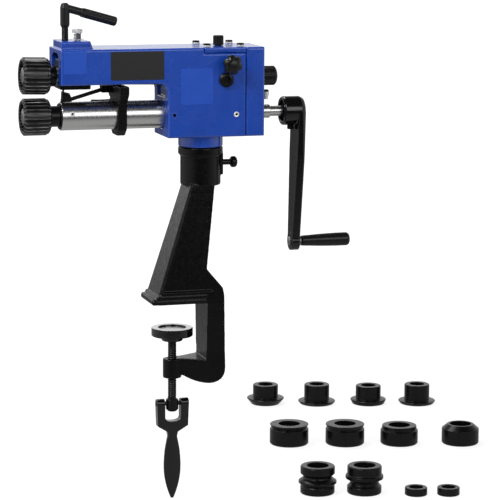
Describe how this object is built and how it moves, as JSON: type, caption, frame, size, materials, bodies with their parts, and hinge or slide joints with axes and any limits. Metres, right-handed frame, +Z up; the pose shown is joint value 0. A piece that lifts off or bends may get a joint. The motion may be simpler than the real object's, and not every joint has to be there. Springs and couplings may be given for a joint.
{
  "type": "hand cranked bead roller",
  "caption": "Bench clamped hand cranked bead roller with a swivelling gearbox head, upper and lower rollers, a pressure screw, a sliding fence and a set of spare rolls.",
  "frame": {"origin": "on the upper jaw's underside, on the clamp screw's axis", "axes": "+X along the lower shaft towards the crank, -Y towards the operator's side with the star knob, +Z up"},
  "size_m": [0.8187, 0.7051, 0.7202],
  "materials": {
    "blue_paint": "satin",
    "black_paint": "satin",
    "black_steel": "oil blackened",
    "black_plastic": "matt",
    "bright_steel": "turned",
    "zinc": "zinc plated",
    "bronze": "turned"
  },
  "bodies": {
    "stand": {"stand_frame": "black_paint", "flanged_roll_1": "black_steel", "flanged_roll_2": "black_steel", "flanged_roll_3": "black_steel", "flanged_roll_4": "black_steel", "wide_roll_1": "black_steel", "wide_roll_2": "black_steel", "wide_roll_3": "black_steel", "wide_roll_4": "black_steel", "double_roll_1": "black_steel", "double_roll_2": "black_steel", "spacer_ring_1": "black_steel", "spacer_ring_2": "black_steel"},
    "clamp_slide": {"clamp_pad": "black_paint"},
    "clamp_spindle": {"clamp_screw": "black_steel", "clamp_pin": "black_steel"},
    "clamp_lever": {"clamp_handle": "black_paint"},
    "swivel_lock": {"swivel_lock_screw": "black_steel"},
    "head": {"head_casting": "blue_paint", "gear_cover": "blue_paint", "oil_cup": "zinc", "top_plate": "blue_paint", "plate_screw_1": "black_steel", "plate_screw_2": "black_steel", "plate_screw_3": "black_steel", "plate_screw_4": "black_steel", "guide_tube": "bright_steel", "tube_bush": "black_steel", "lower_bearing": "bronze", "pivot_screw_front": "black_steel", "pivot_screw_rear": "black_steel", "lift_spring": "zinc"},
    "carriage": {"shaft_carrier": "black_steel", "bearing_block": "black_steel", "lift_screw": "zinc"},
    "upper_slide": {"thrust_sleeve": "bronze"},
    "upper_spindle": {"upper_shaft": "bright_steel", "upper_gear": "black_steel", "upper_roller": "black_steel", "upper_roller_nut": "bright_steel", "upper_spacer": "black_steel"},
    "drive": {"lower_shaft": "bright_steel", "lower_gear": "black_steel", "lower_roller": "black_steel", "lower_roller_nut": "bright_steel", "lower_spacer": "black_steel", "shaft_collar": "bright_steel", "crank_arm": "black_paint", "crank_set_screw": "black_steel", "handle_stud": "zinc"},
    "grip": {"crank_grip": "black_plastic"},
    "pressure_slide": {"pressure_pad": "black_steel"},
    "pressure_spindle": {"pressure_screw": "black_steel", "pressure_handle": "black_plastic"},
    "top_lock": {"top_knob": "black_plastic"},
    "front_lock": {"star_knob": "black_plastic"},
    "align_control": {"align_knob": "black_plastic"},
    "fence": {"fence_bracket": "black_paint"},
    "fence_lock": {"fence_lock_lever": "black_steel"},
    "stop_arm": {"stop_rod": "black_steel"}
  },
  "joints": [
    {"name": "clamp_travel", "type": "slide", "parent": "stand", "child": "clamp_slide", "axis": [0, 0, 1], "range_m": [-0.021, 0.024]},
    {"name": "clamp_turn", "type": "hinge", "parent": "clamp_slide", "child": "clamp_spindle", "pos_m": [0, 0, -0.1], "axis": [0, 0, 1], "range_deg": [-2521, 2881]},
    {"name": "clamp_handle_swing", "type": "hinge", "parent": "clamp_spindle", "child": "clamp_lever", "pos_m": [0, 0, -0.1465], "axis": [1, 0, 0], "range_deg": [-90, 90]},
    {"name": "head_swivel", "type": "hinge", "parent": "stand", "child": "head", "pos_m": [0.0405, 0, 0.2], "axis": [0, 0, 1], "continuous": true},
    {"name": "swivel_lock_turn", "type": "hinge", "parent": "stand", "child": "swivel_lock", "pos_m": [0.0905, 0, 0.1925], "axis": [1, 0, 0], "range_deg": [0, 270]},
    {"name": "upper_tilt", "type": "hinge", "parent": "head", "child": "carriage", "pos_m": [0.0657, 0, 0.3105], "axis": [0, 1, 0], "range_deg": [-0.91, 1.36]},
    {"name": "upper_shift", "type": "slide", "parent": "carriage", "child": "upper_slide", "axis": [0.9996, 0, -0.0274], "range_m": [-0.002, 0.002]},
    {"name": "upper_turn", "type": "hinge", "parent": "upper_slide", "child": "upper_spindle", "pos_m": [0.0657, 0, 0.3105], "axis": [0.9996, 0, -0.0274], "continuous": true},
    {"name": "drive_turn", "type": "hinge", "parent": "head", "child": "drive", "pos_m": [0.0405, 0, 0.262], "axis": [1, 0, 0], "continuous": true},
    {"name": "grip_turn", "type": "hinge", "parent": "drive", "child": "grip", "pos_m": [0.2005, 0, 0.077], "axis": [1, 0, 0], "continuous": true},
    {"name": "pressure_travel", "type": "slide", "parent": "head", "child": "pressure_slide", "axis": [0, 0, 1], "range_m": [-0.00343, 0.00512], "deforming": ["lift_spring"]},
    {"name": "pressure_turn", "type": "hinge", "parent": "pressure_slide", "child": "pressure_spindle", "pos_m": [-0.1495, 0, 0.362], "axis": [0, 0, 1], "range_deg": [-822, 1227]},
    {"name": "top_lock_turn", "type": "hinge", "parent": "head", "child": "top_lock", "pos_m": [0.0657, 0, 0.362], "axis": [0, 0, 1], "range_deg": [0, 270]},
    {"name": "front_lock_turn", "type": "hinge", "parent": "head", "child": "front_lock", "pos_m": [0.0698, -0.05, 0.3324], "axis": [0, -1, 0], "range_deg": [0, 270]},
    {"name": "align_turn", "type": "hinge", "parent": "head", "child": "align_control", "pos_m": [0.1305, 0, 0.31148], "axis": [1, 0, 0], "range_deg": [-481, 481]},
    {"name": "fence_travel", "type": "slide", "parent": "head", "child": "fence", "axis": [1, 0, 0], "range_m": [-0.01, 0.038]},
    {"name": "fence_lock_turn", "type": "hinge", "parent": "fence", "child": "fence_lock", "pos_m": [-0.0756, 0.026, 0.278], "axis": [0, 1, 0], "range_deg": [-60, 12]},
    {"name": "stop_swing", "type": "hinge", "parent": "fence", "child": "stop_arm", "pos_m": [-0.0895, 0.0262, 0.2956], "axis": [0, 1, 0], "range_deg": [-50, 0]}
  ],
  "couplings": [
    {"joint": "clamp_turn", "follows": "clamp_travel", "rad_per_m": 2094.4},
    {"joint": "upper_turn", "follows": "drive_turn", "ratio": -1},
    {"joint": "align_turn", "follows": "upper_shift", "rad_per_m": 4188.8},
    {"joint": "pressure_travel", "follows": "upper_tilt", "m_per_rad": 0.2152},
    {"joint": "pressure_turn", "follows": "upper_tilt", "ratio": 901.43}
  ]
}
